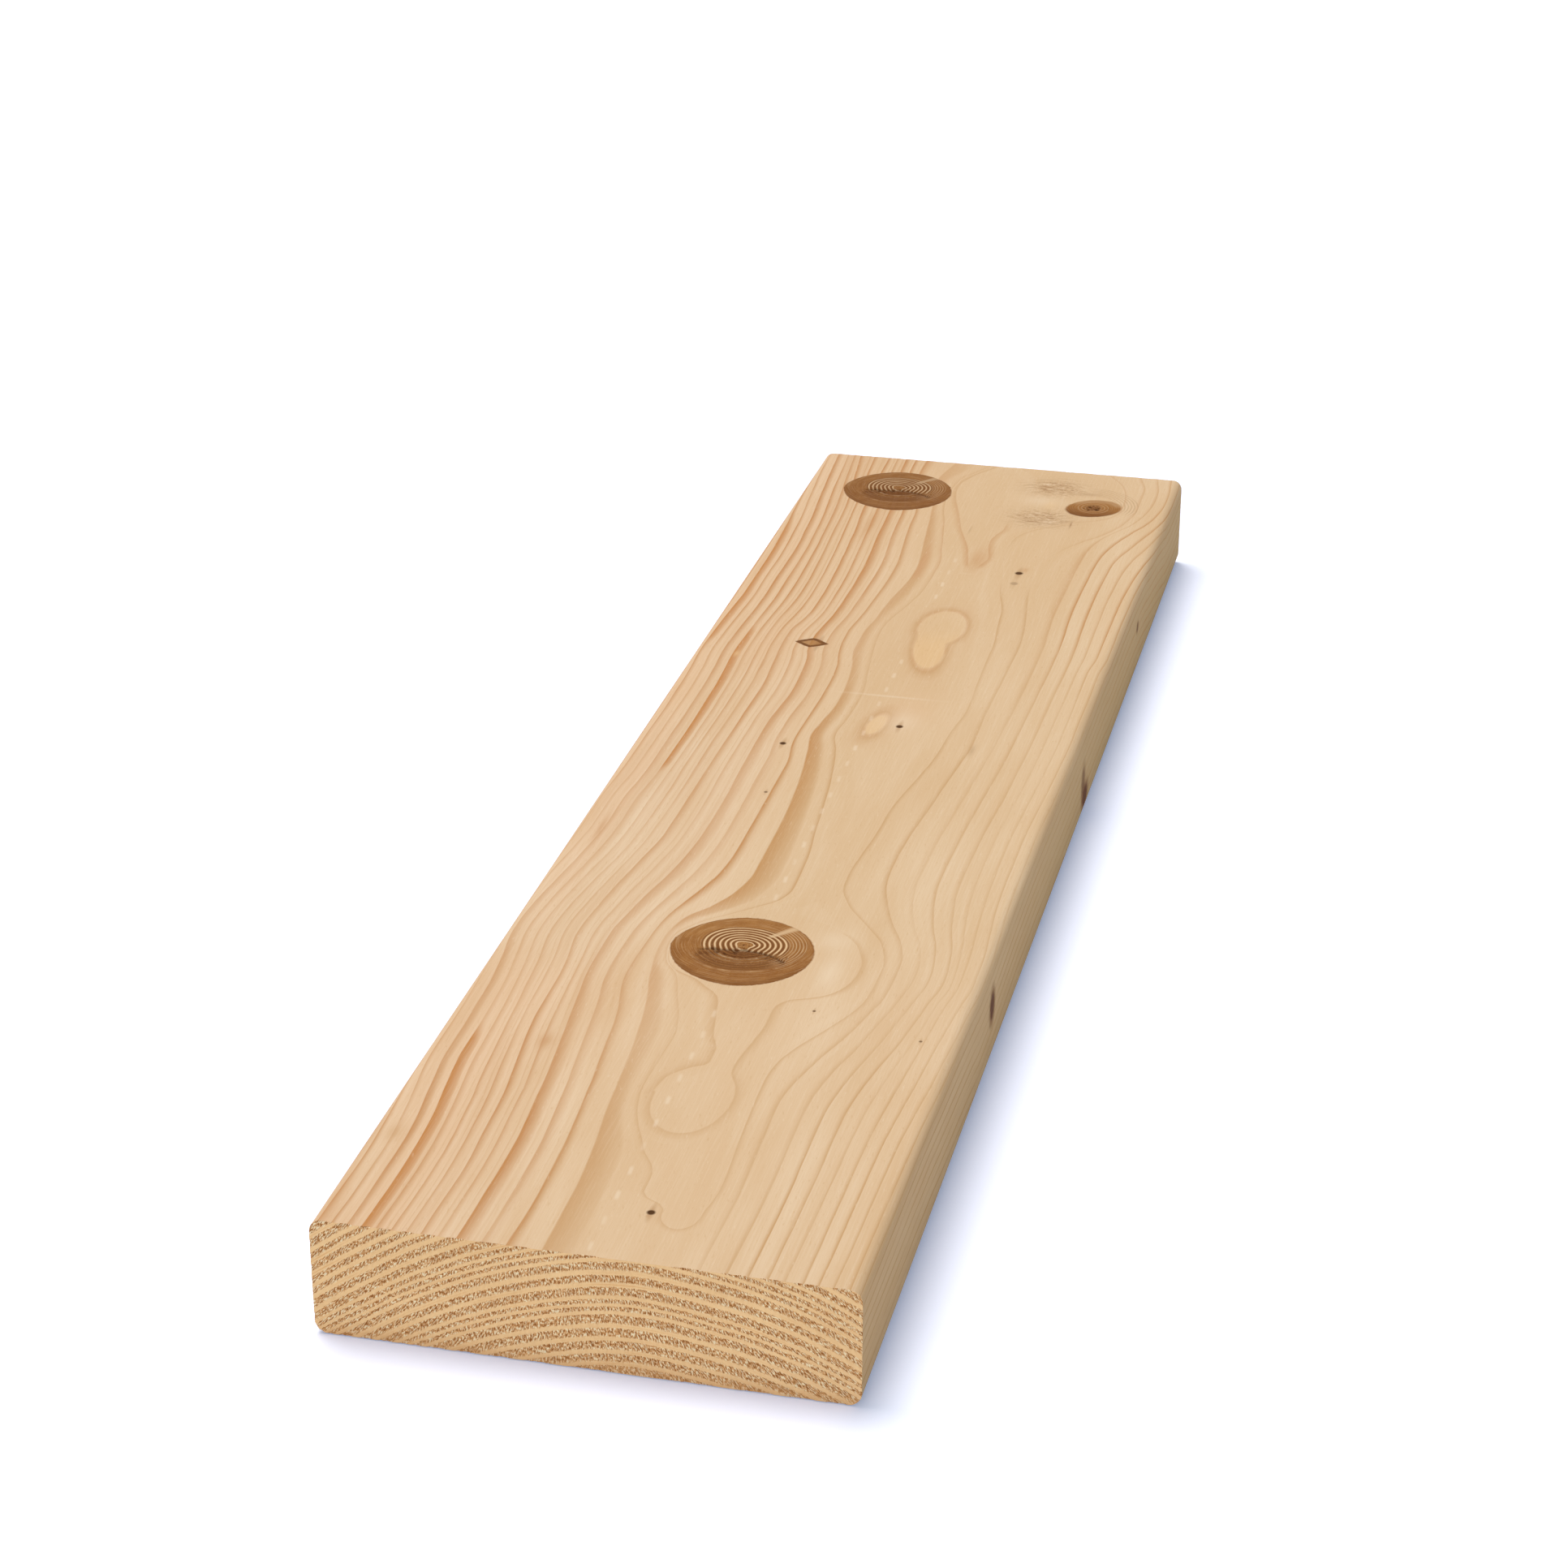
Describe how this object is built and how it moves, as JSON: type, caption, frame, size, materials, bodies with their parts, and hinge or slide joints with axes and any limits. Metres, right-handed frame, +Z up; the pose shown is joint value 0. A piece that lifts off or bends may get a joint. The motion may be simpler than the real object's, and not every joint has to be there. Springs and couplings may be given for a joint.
{
  "type": "timber lumber plank",
  "caption": "Short plank of planed softwood, rectangular in section with four eased long corners and square-cut ends.",
  "frame": {"origin": "middle of the wide face that the plank lies on, halfway along its length", "axes": "+X along the plank's length, +Y across its width, +Z up through its thickness"},
  "size_m": [0.825, 0.2, 0.047],
  "materials": {
    "planed_softwood": "planed matt, pale yellow to pinkish softwood with knots; rough saw-cut end grain"
  },
  "bodies": {
    "root": {"plank": "planed_softwood"}
  },
  "joints": []
}
